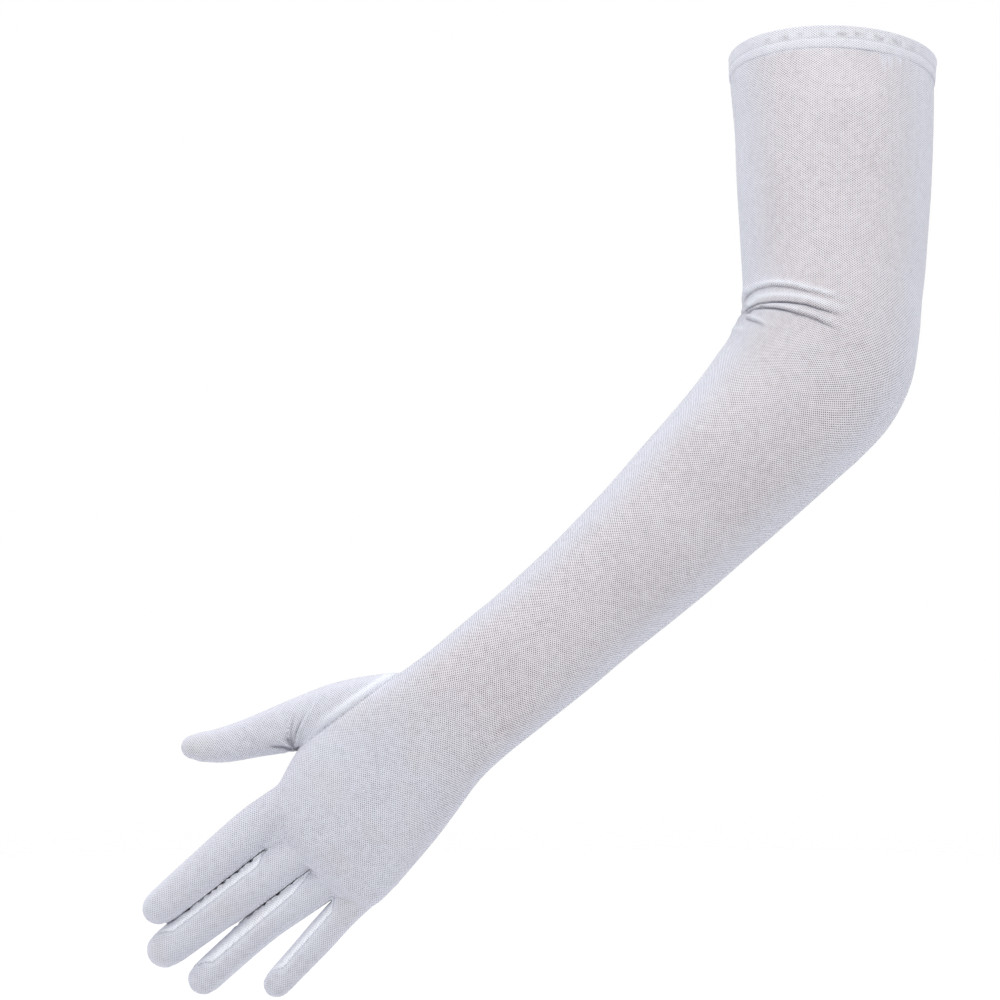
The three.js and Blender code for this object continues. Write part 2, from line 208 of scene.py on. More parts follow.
# A ring of edges on section k, drawn out by grow millimetres
def ringOn(bm, sections, k, sides, grow, least=0.1):
    verts = bmesh.ops.create_circle(bm, segments=sides, radius=1)["verts"]
    half = np.maximum(np.array([sections["width"][k], sections["depth"][k]]) / 2 + grow, least)
    for vert in verts:
        reach = [math.copysign(abs(c) ** (2 / sections["power"][k]), c) for c in vert.co.xy]
        point = (sections["centre"][k] + reach[0] * half[0] * sections["across"][k]
                 + reach[1] * half[1] * sections["back"][k])
        vert.co = point * mm
    return list({edge for vert in verts for edge in vert.link_edges})


# A closed form bridged from ring to ring, added to the mesh that gathers the forms
def bridgeForm(gathered, sections, sides, grow):
    bm = bmesh.new()
    rings = [ringOn(bm, sections, k, sides, grow) for k in range(len(sections["width"]))]
    for near, far in zip(rings, rings[1:]):
        bmesh.ops.bridge_loops(bm, edges=near + far)
    for ends in (rings[0], rings[-1]):
        bmesh.ops.holes_fill(bm, edges=ends, sides=0)
    bmesh.ops.recalc_face_normals(bm, faces=bm.faces)
    form = bpy.data.meshes.new("form")
    bm.to_mesh(form)
    bm.free()
    gathered.from_mesh(form)
    bpy.data.meshes.remove(form)


def newObject(name, mesh):
    made = bpy.data.objects.new(name, mesh)
    bpy.context.scene.collection.objects.link(made)
    return made


def objectFrom(name, bm):
    for face in bm.faces:
        face.smooth = True
    mesh = bpy.data.meshes.new(name)
    bm.to_mesh(mesh)
    bm.free()
    return newObject(name, mesh)


def addModifier(target, kind, **settings):
    modifier = target.modifiers.new(kind.title(), kind)
    for name, value in settings.items():
        setattr(modifier, name, value)


def finishedMesh(target):
    graph = bpy.context.evaluated_depsgraph_get()
    return bpy.data.meshes.new_from_object(target.evaluated_get(graph))


def applyModifiers(target):
    mesh = finishedMesh(target)
    target.modifiers.clear()
    target.data = mesh


def readArray(items, name, width, kind=np.float32):
    values = np.zeros(len(items) * width, kind)
    items.foreach_get(name, values)
    return values.reshape(-1, width) if width > 1 else values


# Cloth thickness, and how the forms are joined: they are built thin by fatten, joined on a grid of small
# cubes, smoothed, and grown back, so that the gaps between the fingers stay open
cloth = {
    "wall": 0.45 * mm, "fatten": 0.6, "grid": 0.7 * mm, "smoothing": 8, "keepShare": 0.068,
    "sleeveSides": 96, "fingerSides": 48, "webSides": 24, "sleevePerRow": 5, "fingerPerRow": 8,
    "smoothFactor": 0.5, "softSmoothing": 30,
}
# Where the forms run softly into each other: centre and how far the smoothing is full and fades out
softSpots = tableOf("x y z full none", [
    (-255, -26, -357, 7, 16), (-235, -26, -368, 7, 15), (-224, -26, -380, 7, 15),
    (-212, -28, -296, 12, 26), (-238, -26, -318, 9, 16), (-258, -27, -335, 7, 15),
])


# Gives the points near the soft spots their weight in a vertex group
def markSoftSpots(target, steps=8):
    points = readArray(target.data.vertices, "co", 3) / mm
    weight = np.zeros(len(points))
    for spot in softSpots:
        far = np.linalg.norm(points - (spot["x"], spot["y"], spot["z"]), axis=1)
        weight = np.maximum(weight, 1 - smoothStep(spot["full"], spot["none"], far))
    group = target.vertex_groups.new(name="soft")
    for step in range(1, steps + 1):
        inside = np.flatnonzero(np.round(weight * steps) == step)
        group.add(inside.tolist(), step / steps, "REPLACE")


# Sleeve, hand, fingers and thumb as one smooth closed skin
def gloveSkin():
    bm = bmesh.new()
    grow = -cloth["fatten"]
    bridgeForm(bm, sleeveSections(cloth["sleevePerRow"]), cloth["sleeveSides"], grow)
    for table in [*fingerTables.values(), thumbTable]:
        bridgeForm(bm, tippedSections(table, cloth["fingerPerRow"]), cloth["fingerSides"], grow)
    for web in webTable:
        bridgeForm(bm, webSections(web), cloth["webSides"], grow)
    skin = objectFrom("gloveSkin", bm)
    addModifier(skin, "REMESH", mode="VOXEL", voxel_size=cloth["grid"], use_smooth_shade=True)
    applyModifiers(skin)
    markSoftSpots(skin)
    factor = cloth["smoothFactor"]
    addModifier(skin, "SMOOTH", factor=factor, iterations=cloth["softSmoothing"], vertex_group="soft")
    addModifier(skin, "SMOOTH", factor=factor, iterations=cloth["smoothing"])
    addModifier(skin, "DISPLACE", strength=cloth["fatten"] * mm, mid_level=0.0)
    addModifier(skin, "DECIMATE", ratio=cloth["keepShare"])
    applyModifiers(skin)
    print("skin joined:", len(skin.data.polygons), "faces")
    return skin


# Folds of the elbow and pleats of the thumb. Each is a line [x, z] seen from its side, with its height, how
# far it runs out above and below the line, and over what length its two ends fade. Besides lifting the
# cloth, a fold with a positive height paints a highlight along its crest, and one with a negative height
# paints shade along its crease.
foldTable = tableOf("side height above below fadeIn fadeOut line", [
    ("back", 1.2, 1.7, 0.6, 5, 24, [
        (-45.2, -117.4), (-44.9, -113.4), (-43.1, -109.4), (-38.6, -106.9), (-31.9, -105.8),
        (-25.8, -106.5), (-19.7, -107.9), (-13.4, -109.7), (-7.5, -111.6), (1, -114.6), (9, -118.4)]),
    ("back", -0.55, 0.4, 0.6, 1, 18, [
        (-44.4, -117.6), (-43.7, -113.9), (-41.7, -110.6), (-37.9, -108.2), (-31.9, -107.2),
        (-27.4, -107.7), (-22.7, -108.7), (-14, -111.2), (-6, -114.2)]),
    ("back", 0.8, 2.0, 1.8, 2, 22, [
        (-43.3, -116.4), (-38.6, -112.2), (-31.9, -111.2), (-24, -111.7), (-16, -113.4), (-8, -116),
        (0, -118.9), (8, -122.3)]),
    ("back", -1.1, 0.4, 0.45, 1, 16, [
        (-43.6, -118.2), (-41, -116.5), (-37.9, -115.1), (-32, -114.6), (-25.9, -114.9), (-21, -115.7),
        (-17.3, -116.4), (-13.5, -117.8), (-9.4, -119.1), (-3, -120.9), (2.6, -123)]),
    ("back", 0.7, 0.8, 0.7, 1, 18, [
        (-42.5, -118.3), (-37, -116.1), (-30, -116.1), (-22, -118), (-15, -120.2), (-8, -123.2), (0, -127),
        (7, -131)]),
    ("back", -1.1, 0.4, 0.6, 1, 12, [
        (-43.4, -119.2), (-39.8, -117.4), (-36, -116.9), (-31.2, -117.5), (-25.9, -118.8), (-22.7, -119.9),
        (-17.8, -121.4), (-13.6, -122.9), (-9.5, -125.1), (-5.2, -127.1), (-1.5, -129)]),
    ("back", 0.7, 1.0, 0.8, 1, 7, [
        (-43.4, -119.9), (-41.2, -120.9), (-38.8, -121.9), (-34.5, -124.4), (-30.6, -126)]),
    ("back", -0.7, 0.5, 0.8, 1, 6, [
        (-43.4, -121.2), (-41.7, -122.4), (-39.2, -123.5), (-36.5, -125), (-34, -126.3)]),
    ("palm", 1.6, 3.2, 1.2, 7, 14, [(-44, -116), (-40, -110), (-30, -108.6), (-18, -111), (-6, -115)]),
    ("palm", -1.1, 0.8, 1.0, 1, 14, [(-43, -118), (-36, -115), (-25, -115.6), (-12, -119), (0, -124)]),
    ("palm", 1.3, 1.8, 1.8, 1, 14, [(-43, -120.5), (-36, -119), (-26, -120.5), (-14, -125), (-4, -130)]),
    ("edge", -0.6, 0.9, 0.9, 1, 3, [(-50, -118.6), (-40, -118.6)]),
    ("edge", 0.5, 1.4, 1.4, 1, 4, [(-54, -124.6), (-42, -126.6)]),
    ("back", 0.9, 0.55, 0.5, 1, 8, [(-250, -315.8), (-251.4, -309.4), (-250.7, -303.4), (-248.4, -297)]),
    ("back", -0.35, 0.6, 0.6, 0.5, 9, [(-249.3, -316), (-250.1, -309.4), (-249.2, -303.6), (-247, -299)]),
    ("back", 0.9, 0.5, 0.6, 1, 8, [
        (-248, -315), (-246.4, -309.4), (-243.7, -304), (-240.5, -298.4), (-237, -293)]),
    ("back", -0.5, 0.6, 0.45, 0.5, 11, [
        (-249, -316.6), (-247.6, -309.8), (-245.1, -304.4), (-242.2, -299.2)]),
    ("back", 0.6, 0.6, 0.6, 1, 3, [(-249.4, -317), (-255, -314.4), (-257.4, -311.2)]),
    ("back", -0.8, 0.7, 0.8, 0.5, 4, [(-248.6, -318.6), (-254, -316.9), (-261, -316.4)]),
    ("back", -0.8, 1.4, 1.4, 0.3, 2.5, [(-248, -319), (-250.6, -314.2), (-252, -311)]),
    ("back", 0.5, 1.8, 1.6, 12, 3, [(-244, -310.2), (-230.4, -300.2), (-215.5, -290.2), (-203, -281)]),
    ("back", -0.25, 0.4, 0.5, 1.5, 4, [
        (-232.6, -386.9), (-230.5, -385.5), (-227.8, -385.2), (-225, -386.2)]),
])
# The finer mesh along the folds: how far it reaches, in widths of a fold and in millimetres, and how deep a
# crease is that is cut once more; which cloth faces a fold's way; and the slow sway of worn cloth
foldMesh = {"reach": 1.5, "furthest": 2.2, "margin": 0.9, "cuts": 3, "smoothing": 5, "sharpest": -0.25,
            "facing": (-0.05, 0.25), "leastFacing": -0.3, "sway": 0.3, "swaySize": 26}


# Signed distance of points from a line, positive above it, and how far along the line its foot is
def fromLine(x, z, line):
    far = np.full(len(x), np.inf)
    signed, along = np.zeros(len(x)), np.zeros(len(x))
    run = 0.0
    for (ax, az), (bx, bz) in zip(line, line[1:]):
        length = math.hypot(bx - ax, bz - az)
        ux, uz = (bx - ax) / length, (bz - az) / length
        foot = np.clip((x - ax) * ux + (z - az) * uz, 0, length)
        distance = np.hypot(x - ax - foot * ux, z - az - foot * uz)
        side = np.where((z - az) * ux - (x - ax) * uz >= 0, 1.0, -1.0)
        nearer = distance < far
        far = np.where(nearer, distance, far)
        signed = np.where(nearer, side * distance, signed)
        along = np.where(nearer, run + foot, along)
        run += length
    return signed, along, run


# How far the folds lift each point, how it lies in them (1 on a crest, -1 in a crease: the painted highlight
# and painted shade of the folds), whether it is near
def foldsAt(points, normals):
    x, z = points[:, 0], points[:, 2]
    lift, crest, crease = np.zeros(len(x)), np.zeros(len(x)), np.zeros(len(x))
    near = np.zeros(len(x), bool)
    for fold in foldTable:
        facing = {"back": -normals[:, 1], "palm": normals[:, 1], "edge": np.ones(len(x))}[fold["side"]]
        signed, along, run = fromLine(x, z, fold["line"])
        spread = np.where(signed > 0, fold["above"], fold["below"])
        ends = smoothStep(0, fold["fadeIn"], along) * (1 - smoothStep(run - fold["fadeOut"], run, along))
        part = smoothStep(*foldMesh["facing"], facing) * ends * np.exp(-(signed / spread) ** 2)
        lift += fold["height"] * part
        if fold["height"] > 0:
            crest = np.maximum(crest, part ** 2 * min(fold["height"], 1))
        else:
            crease = np.maximum(crease, part * min(-fold["height"], 1))
        fine = np.minimum(spread * foldMesh["reach"], foldMesh["furthest"]) + foldMesh["margin"]
        near |= (np.abs(signed) < fine) & (facing > foldMesh["leastFacing"]) & (along < run)
    return lift, crest * (1 - crease) - crease, near


def bmPoints(bm):
    return np.array([vert.co.to_tuple() for vert in bm.verts]) / mm


def bmNormals(bm):
    bm.normal_update()
    return np.array([vert.normal.to_tuple() for vert in bm.verts])


def faceCentres(bm):
    return np.array([face.calc_center_median().to_tuple() for face in bm.faces]) / mm


# Cuts edges and splits the faces that then have more corners than that
def cutEdges(bm, edges, cuts=1, grid=False, corners=3):
    bmesh.ops.subdivide_edges(bm, edges=edges, cuts=cuts, use_grid_fill=grid)
    bmesh.ops.triangulate(bm, faces=[face for face in bm.faces if len(face.verts) > corners])


def nearFolds(bm):
    _, _, near = foldsAt(bmPoints(bm), bmNormals(bm))
    return [vert for vert, chosen in zip(bm.verts, near) if chosen]


# Makes the mesh finer along the folds and in their creases, then lays the folds and the cloth's sway
def foldSkin(bm):
    inside = set(nearFolds(bm))
    edges = [edge for edge in bm.edges if not inside.isdisjoint(edge.verts)]
    cutEdges(bm, edges, foldMesh["cuts"], grid=True)
    inside = nearFolds(bm)
    axes = {"use_axis_x": True, "use_axis_y": True, "use_axis_z": True}
    for _ in range(foldMesh["smoothing"]):
        bmesh.ops.smooth_vert(bm, verts=inside, factor=cloth["smoothFactor"], **axes)
    bm.normal_update()
    ends = [edge.verts for edge in bm.edges]
    middles = np.array([((a.co + b.co) / 2).to_tuple() for a, b in ends]) / mm
    _, folded, _ = foldsAt(middles, np.array([((a.normal + b.normal) / 2).to_tuple() for a, b in ends]))
    cutEdges(bm, [edge for edge, fold in zip(bm.edges, folded.tolist()) if fold < foldMesh["sharpest"]])
    points, normals = bmPoints(bm), bmNormals(bm)
    lift, _, _ = foldsAt(points, normals)
    size, height = foldMesh["swaySize"], foldMesh["sway"]
    sway = [noise.noise(Vector(point) / size) * height for point in points.tolist()]
    for vert, normal, rise in zip(bm.verts, normals, (lift + sway).tolist()):
        vert.co += Vector(normal) * rise * mm
    print("folds laid:", len(bm.faces), "faces")


# Seam of the set-in thumb, from its crotch to the wrist, how far beside it faces are cut, and the free space
# round the thumb
thumbSeam = [(-249, -318.5), (-231, -304.8), (-215, -292.8), (-200.5, -282)]
thumbSeamReach = 4
aroundThumb = [(-202, -253), (-340, -253), (-340, -348), (-276, -329)]
# Strips between two fingers: half widths towards the back at the fork and on the first finger, how wide they
# show on the back of the second finger and after which length, the half width towards the palm
stripTable = tableOf("fork first band widensIn palm", [
    (3.8, 4.6, 3.9, 7, 2.6), (3.2, 2.6, 3.3, 13, 2.6), (3.0, 2.4, 3.3, 4, 2.4),
])
# Where the strips end before the tips, how their ends slant and where they start below the fork; then how
# far past the middles of the fingers and past the knuckles, and how deep, faces are cut for them
strips = {"beforeTip": 5.0, "endSlant": (0.59, 0.81), "belowFork": 0.6, "pastMiddle": 1, "pastKnuckle": 2,
          "uprightDepth": 5}
# Where the cloth ends under the hem, in rows of the sleeve
hem = {"tuckedTo": 0.9}
# Cloth beside a seam: pulled in at the stitches, puffed up next to them, and doubled by the allowance
# inside, which the thumb has wider towards the wrist. Three values are those of the trank, the thumb and the
# strips. Along the seam's line the cloth gets a line of painted shade, fainter on the fingers.
seam = {"reach": 9, "pull": 0.4, "pullWidth": 0.7, "puff": 0.3, "puffAt": 2.2, "puffWidth": 1.1,
        "puffShare": (0.3, 1.0, 0.3), "allowance": 2.4, "allowanceShare": (1, 0.6, 1), "thumbFacing": 3.0,
        "facingFrom": (-250, -222), "fade": (0.6, 1.25), "doubled": (0.4, 0.8, 0.6), "crease": 0.25,
        "creaseWidth": 0.7, "faintFrom": -15, "faint": 0.5, "meshReach": 2.2, "fewestPoints": 40}
# Where two fingers lie against each other: up to which gap their sides swell until only the last bit is
# left, up to which gap the cloth is painted dark as shade in the gap, and the uneven gathers that the
# strips' seams pull into them. From the ring finger's middle on the fingers stand apart, and nothing swells.
crevice = {"from": -45, "clear": 0.1, "swellFull": 1.3, "swellNone": 2.3, "left": 0.14, "gapShadeFull": 1.25,
           "gapShadeNone": 1.72, "gather": 2.3, "gatherEvery": 4.1, "gatherFrom": (12, 26), "uneven": 0.45,
           "unevenTurn": 0.83, "apartFrom": 2}
# Cloth that is hardly stretched has small holes: from where to where that comes on, down the glove
looseCloth = {"none": -115, "full": -40}
pieceNames = ["trank", "thumb"] + [f"fourchette_{first}_{second}" for first, second in
                                   zip(list(fingerTables), list(fingerTables)[1:])]


def insideOutline(x, z, corners):
    inside = np.zeros(len(x), bool)
    for (ax, az), (bx, bz) in zip(corners, corners[1:] + corners[:1]):
        if az != bz:
            crosses = (az > z) != (bz > z)
            inside ^= crosses & (x < ax + (z - az) * (bx - ax) / (bz - az))
    return inside


# Cuts the chosen faces along a plane. Their parts are named once each, in the same order every time.
def cutFaces(bm, chosen, point, normal, clearOuter=False):
    faces = [face for face, cut in zip(bm.faces, chosen) if cut]
    edges = (edge for face in faces for edge in face.edges)
    verts = (vert for face in faces for vert in face.verts)
    parts = dict.fromkeys([*faces, *edges, *verts])
    bmesh.ops.bisect_plane(bm, geom=list(parts), dist=1e-7, plane_co=Vector(point) * mm,
                           plane_no=Vector(normal).normalized(), clear_outer=clearOuter)


# Where a strip ends on a finger, its depth there, and that finger's heading
def stripEnd(table):
    base, tip = (np.array([row["x"], row["z"]], float) for row in (table[1], table[-1]))
    heading = (tip - base) / np.linalg.norm(tip - base)
    x, z = tip - heading * strips["beforeTip"]
    return np.array([x, handDepth(x, z) + table[-1]["toPalm"], z]), np.array([heading[0], 0, heading[1]])


# Signed distance across a finger's middle line, positive towards the little finger
def acrossFinger(x, z, table):
    signed, _, _ = fromLine(x, z, [(row["x"], row["z"]) for row in table])
    return signed


def betweenFingers(x, z, first, second, past=0):
    between = (acrossFinger(x, z, first) > -past) & (acrossFinger(x, z, second) < past)
    return between & (downHand(x, z) > -strips["pastKnuckle"])


# Plane through three points, facing away from the middle of the hand
def planeThrough(corners, side):
    normal = np.cross(corners[1] - corners[0], corners[2] - corners[0])
    return corners[0], normal / np.linalg.norm(normal) * np.sign(normal[1]) * side


# Upright plane along a line seen from the back of the hand, facing the little finger
def uprightPlane(start, end):
    along = (end - start) / np.linalg.norm(end - start)
    return start, np.array([-along[2], 0, along[0]])


# The planes that bound a strip: the middle of the gap, the front edge on the first finger, the two front
# edges on the second, the palm edge, and a slanting end on each finger
def stripPlanes(web, sizes, first, second):
    front, toTip = np.array([0, -1, 0]), strips["endSlant"]
    ends = [stripEnd(table) for table in (first, second)]
    fork = np.array([web["x"], handDepth(web["x"], web["z"]) + second[1]["toPalm"] / 2, web["z"]])
    places = [ends[0][0], ends[1][0], fork]

    def edgePlane(side, *halves):
        return planeThrough([place + side * front * half for place, half in zip(places, halves)], -side)

    start = fork + ends[1][1] * strips["belowFork"]
    toMiddle = np.array([-ends[1][1][2], 0, ends[1][1][0]])
    inner = [np.array([row["x"], fork[1], row["z"]]) - toMiddle * (row["width"] / 2 - sizes["band"])
             for row in (second[1], second[-1])]
    lengthwise = (inner[1] - inner[0]) / np.linalg.norm(inner[1] - inner[0])
    full = inner[0] + lengthwise * ((start - inner[0]) @ lengthwise + sizes["widensIn"])
    return {
        "gap": uprightPlane(start, start + ends[0][1] + ends[1][1]),
        "first": edgePlane(1, sizes["first"], sizes["first"], sizes["fork"]),
        "second": [uprightPlane(start, full), uprightPlane(*inner)],
        "palm": edgePlane(-1, *(sizes["palm"],) * 3),
        "ends": [(place, heading * toTip[0] + front * toTip[1]) for place, heading in ends],
    }


# Cuts the skin along its seams and at the hem, and marks the piece that each face belongs to
def cutPieces(bm):
    edge = sectionsOf(readTable(sleeveTable, [0, hem["tuckedTo"], 2]))
    top = np.cross(edge["across"][1], edge["back"][1])
    cutFaces(bm, np.ones(len(bm.faces), bool), edge["centre"][1], -top, clearOuter=True)
    for (ax, az), (bx, bz) in zip(thumbSeam, thumbSeam[1:]):
        centres = faceCentres(bm)
        signed, _, _ = fromLine(centres[:, 0], centres[:, 2], [(ax, az), (bx, bz)])
        cutFaces(bm, np.abs(signed) < thumbSeamReach, (ax, 0, az), (bz - az, 0, ax - bx))
    tables = list(fingerTables.values())
    planes = [stripPlanes(*parts) for parts in zip(webTable, stripTable, tables, tables[1:])]
    for bounds, first, second in zip(planes, tables, tables[1:]):
        upright = [bounds["gap"], *bounds["second"]]
        for point, normal in [*upright, bounds["first"], bounds["palm"], *bounds["ends"]]:
            centres = faceCentres(bm)
            x, z = centres[:, 0], centres[:, 2]
            near = betweenFingers(x, z, first, second, strips["pastMiddle"])
            if normal[1] == 0:
                near &= centres[:, 1] < point[1] + strips["uprightDepth"]
            cutFaces(bm, near, point, normal)
    centres = faceCentres(bm)
    x, z = centres[:, 0], centres[:, 2]
    owner = np.zeros(len(centres), int)
    owner[insideOutline(x, z, thumbSeam + aroundThumb)] = 1

    def behind(plane):
        return ((centres - plane[0]) @ plane[1]) < 0

    for k, (bounds, first, second) in enumerate(zip(planes, tables, tables[1:])):
        between = betweenFingers(x, z, first, second)
        onFirst, deep = behind(bounds["gap"]), behind(bounds["first"])
        shows = behind(bounds["second"][0]) & behind(bounds["second"][1])
        firstEnd, secondEnd = (behind(plane) for plane in bounds["ends"])
        between &= np.where(onFirst, deep & firstEnd, (deep | shows) & secondEnd)
        owner[between & behind(bounds["palm"])] = k + 2
    piece = bm.faces.layers.int["piece"]
    for face, number in zip(bm.faces, owner.tolist()):
        face[piece] = number
    print("seams cut:", {name: int((owner == k).sum()) for k, name in enumerate(pieceNames)})


def seamEdges(bm):
    piece = bm.faces.layers.int["piece"]
    found = {}
    for edge in bm.edges:
        owners = {face[piece] for face in edge.link_faces}
        if len(owners) == 2:
            found.setdefault(max(owners), []).append(edge)
    return found


def nearestSeam(bm):
    verts = {vert for edges in seamEdges(bm).values() for edge in edges for vert in edge.verts}
    tree = kdtree.KDTree(len(verts))
    for k, vert in enumerate(verts):
        tree.insert(vert.co, k)
    tree.balance()
    return tree


# Edges between two pieces as closed lines of vertices, by the piece that is set in
def seamLines(bm):
    lines = {}
    for owner, edges in seamEdges(bm).items():
        links = {}
        for edge in edges:
            for near, far in (edge.verts, reversed(edge.verts)):
                links.setdefault(near, []).append(far)
        left = dict.fromkeys(links)
        while left:
            line = [next(iter(left))]
            while line[-1] in left:
                left.pop(line[-1])
                line += [vert for vert in links[line[-1]] if vert in left][:1]
            lines.setdefault(owner, []).append(line)
    return lines


# Makes the mesh finer along the seams and finds them again in it
def refineSeams(bm):
    tree = nearestSeam(bm)
    reach = seam["meshReach"] * mm
    close = [edge for edge in bm.edges if all(tree.find(vert.co)[2] < reach for vert in edge.verts)]
    cutEdges(bm, close, corners=4)
    return nearestSeam(bm)


def bell(far, width, middle=0.0):
    return math.exp(-((far - middle) / width) ** 2)


# Pulls the cloth in along each seam and puffs it up beside it, gathers the strips where the fingers touch,
# and marks where the cloth is doubled, the painted highlight and shade of its folds, and the painted shade
# along seam lines and in the gaps between touching fingers
def drawSeams(bm):
    tree = refineSeams(bm)
    layer = {name: bm.verts.layers.float[name] for name in clothMarks}
    piece = bm.faces.layers.int["piece"]
    points, normals = bmPoints(bm), bmNormals(bm)
    _, folded, _ = foldsAt(points, normals)
    solid = BVHTree.FromBMesh(bm)
    x, z = points[:, 0], points[:, 2]
    down = downHand(x, z).tolist()
    spread = (acrossFinger(x, z, fingerTables["ring"]) > crevice["apartFrom"]).tolist()
    moves = []
    for vert, normal, fold, along, apart in zip(bm.verts, normals, folded.tolist(), down, spread):
        normal = Vector(normal)
        far = tree.find(vert.co)[2] / mm
        own = max(face[piece] for face in vert.link_faces)
        sort = min(own, 2)
        rise, gapShade, swell = 0.0, 0.0, 0.0
        if along > crevice["from"]:
            start = vert.co + normal * crevice["clear"] * mm
            distance = solid.ray_cast(start, normal, crevice["swellNone"] * mm)[3]
            if distance is not None:
                gap = distance / mm + crevice["clear"]
                swell = 1 - float(smoothStep(crevice["swellFull"], crevice["swellNone"], gap))
                rise = 0 if apart else max(gap / 2 - crevice["left"], 0) * swell
                # painted shade: cloth that faces other cloth across a narrow gap is painted dark
                gapShade = 1 - float(smoothStep(crevice["gapShadeFull"], crevice["gapShadeNone"], gap))
        if far < seam["reach"]:
            puff = seam["puff"] * bell(far, seam["puffWidth"], seam["puffAt"])
            rise += puff * seam["puffShare"][sort] - seam["pull"] * bell(far, seam["pullWidth"])
            toWrist = float(smoothStep(*seam["facingFrom"], vert.co.x / mm)) if own == 1 else 0
            wide = seam["allowance"] * seam["allowanceShare"][sort] + seam["thumbFacing"] * toWrist
            fade = 1 - float(smoothStep(wide * seam["fade"][0], wide * seam["fade"][1], far))
            vert[layer["doubled"]] = fade * seam["doubled"][sort]
            # painted shade along the seam's line, put into the fold mark
            dark = seam["crease"] * (1.0 if along < seam["faintFrom"] else seam["faint"])
            fold -= dark * bell(far, seam["creaseWidth"])
        towardsThumb = normal.x * hand["across"][0] + normal.z * hand["across"][1] < 0
        if own > 1 and swell > 0 and towardsThumb and not apart:
            wave = (0.5 + 0.5 * math.cos(2 * math.pi * along / crevice["gatherEvery"])) ** 3
            wave *= 1 - crevice["uneven"] + crevice["uneven"] * math.sin(along * crevice["unevenTurn"])
            rise -= crevice["gather"] * wave * swell * float(smoothStep(*crevice["gatherFrom"], along))
        vert[layer["fold"]] = max(fold, -1.0)
        vert[layer["gapShade"]] = gapShade
        if own < 2:
            vert[layer["loose"]] = max(own, float(smoothStep(looseCloth["none"], looseCloth["full"], along)))
        moves.append(normal * rise * mm)
    for vert, move in zip(bm.verts, moves):
        vert.co += move


skin = gloveSkin()
glove = bmesh.new()
glove.from_mesh(skin.data)
bpy.data.objects.remove(skin)
clothMarks = ("doubled", "fold", "gapShade", "loose")
for mark in clothMarks:
    glove.verts.layers.float.new(mark)
glove.faces.layers.int.new("piece")
foldSkin(glove)
cutPieces(glove)
drawSeams(glove)
print("skin drawn:", len(glove.faces), "faces")
seamPoints = {owner: [np.array([vert.co.to_tuple() for vert in line]) for line in group
                      if len(line) > seam["fewestPoints"]]
              for owner, group in sorted(seamLines(glove).items())}
print("seams drawn:", {pieceNames[owner]: list(map(len, group)) for owner, group in seamPoints.items()})


# One piece of the cut skin as its own object
def takePiece(number):
    bm = glove.copy()
    piece = bm.faces.layers.int["piece"]
    bmesh.ops.delete(bm, geom=[face for face in bm.faces if face[piece] != number], context="FACES")
    return objectFrom(pieceNames[number] + "_cloth", bm)


trank, thumb, *stripPieces = [takePiece(number) for number in range(len(pieceNames))]
glove.free()


# How far round a form from the middle of its back, how far along it, and half its girth, at each point
def measureOn(points, sections, steps=60, chunk=4096, lean=0.05):
    centre, across, back = sections["centre"], sections["across"], sections["back"]
    straight = np.cross(across, back)
    straight /= np.linalg.norm(straight, axis=1)[:, None]
    length = runOf(centre)
    angles = np.linspace(0, math.pi, steps + 1)
    power = 2 / sections["power"][:, None]
    ringA = np.abs(np.sin(angles)) ** power * sections["width"][:, None] / 2
    ringB = np.sign(np.cos(angles)) * np.abs(np.cos(angles)) ** power * sections["depth"][:, None] / 2
    arcs = np.cumsum(np.hypot(np.diff(ringA, axis=1), np.diff(ringB, axis=1)), axis=1)
    arcs = np.concatenate([np.zeros((len(arcs), 1)), arcs], 1)
    last = len(centre) - 1
    place = np.zeros(len(points))
    for start in range(0, len(points), chunk):
        part = points[start:start + chunk]
        height = part @ straight.T - (centre * straight).sum(1)
        reach = np.linalg.norm(part[:, None] - centre[None], axis=2)
        nearest = (np.abs(height) + lean * reach).argmin(1)
        rows = np.arange(len(part))
        here = height[rows, nearest]
        other = np.clip(nearest + np.where(here > 0, 1, -1), 0, last)
        there = height[rows, other]
        gap = np.where(np.abs(here - there) < 1e-9, 1, here - there)
        share = np.where(other == nearest, 0, np.clip(here / gap, 0, 1))
        place[start:start + chunk] = nearest + (other - nearest) * share
    k = np.minimum(place.astype(int), last - 1)
    t = place - k

    def at(values):
        mix = t.reshape((-1,) + (1,) * (values.ndim - 1))
        return values[k] * (1 - mix) + values[k + 1] * mix

    offset = points - at(centre)
    chord = (offset * at(across)).sum(1)
    a = chord / (at(sections["width"]) / 2)
    b = (offset * at(back)).sum(1) / (at(sections["depth"]) / 2)
    squareness = at(sections["power"]) / 2
    turn = np.arctan2(np.sign(a) * np.abs(a) ** squareness, np.sign(b) * np.abs(b) ** squareness)
    column = np.abs(turn) / math.pi * steps
    j = np.minimum(column.astype(int), steps - 1)
    girth = at(arcs)
    rows = np.arange(len(points))
    arc = girth[rows, j] * (1 - column + j) + girth[rows, j + 1] * (column - j)
    lengths = [runOf(centre + side * back * sections["depth"][:, None] / 2) for side in (-1, 1)]
    along = at(length) + np.clip(b, -1, 1) * (at(lengths[1]) - at(lengths[0])) / 2
    return {"arc": np.sign(turn) * arc, "along": along, "half": girth[:, -1], "chord": chord, "back": b}


# The cloth's own map, across the threads and along them, in units of 100 mm. The back and the palm side each
# have their own middle line. The map runs round the sleeve and the fingers and lies flat on the hand: from
# where to where it goes over, in millimetres down the hand, and the zone where the two maps are matched.
clothMap = {
    "unit": 100, "sleevePerRow": 16, "fingerPerRow": 24, "handMiddle": (-240, -366), "toHand": (-52, -22),
    "toFlat": (-26, -4), "toRound": (17, 32), "matchAt": -37, "matchReach": 12, "facing": 0.6,
}


